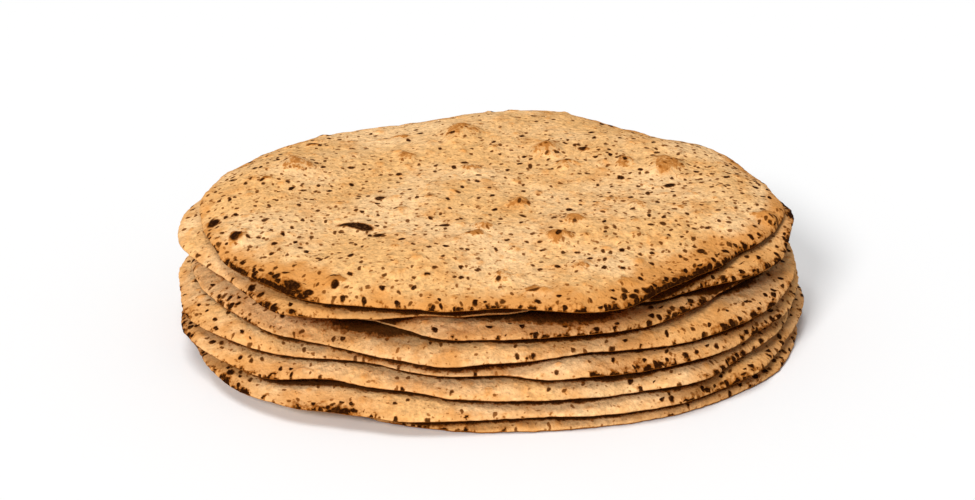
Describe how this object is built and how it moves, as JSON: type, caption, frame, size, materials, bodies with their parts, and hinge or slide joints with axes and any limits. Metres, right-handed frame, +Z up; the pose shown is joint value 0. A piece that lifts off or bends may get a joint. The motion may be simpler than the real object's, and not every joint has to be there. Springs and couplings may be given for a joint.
{
  "type": "stack of lavash flatbreads",
  "caption": "Pile of thin, slightly oval baked lavash breads with uneven drooping rims, low blisters and browned edges, lying flat one on another",
  "frame": {"origin": "centre of the pile's bounding box, at the level of the surface that the lowest bread lies on", "axes": "+Z up through the pile, +X along its widest way, -Y the side with the layered rims that faces the viewer"},
  "size_m": [0.2834, 0.2606, 0.0636],
  "materials": {
    "crust_1": null,
    "crust_2": null,
    "crust_3": null,
    "crust_4": null,
    "crust_5": null,
    "crust_6": null,
    "crust_7": null,
    "crust_8": null
  },
  "bodies": {
    "root": {"lavash_1": "crust_1", "lavash_2": "crust_2", "lavash_3": "crust_3", "lavash_4": "crust_4", "lavash_5": "crust_5", "lavash_6": "crust_6", "lavash_7": "crust_7", "lavash_8": "crust_8"}
  },
  "joints": []
}
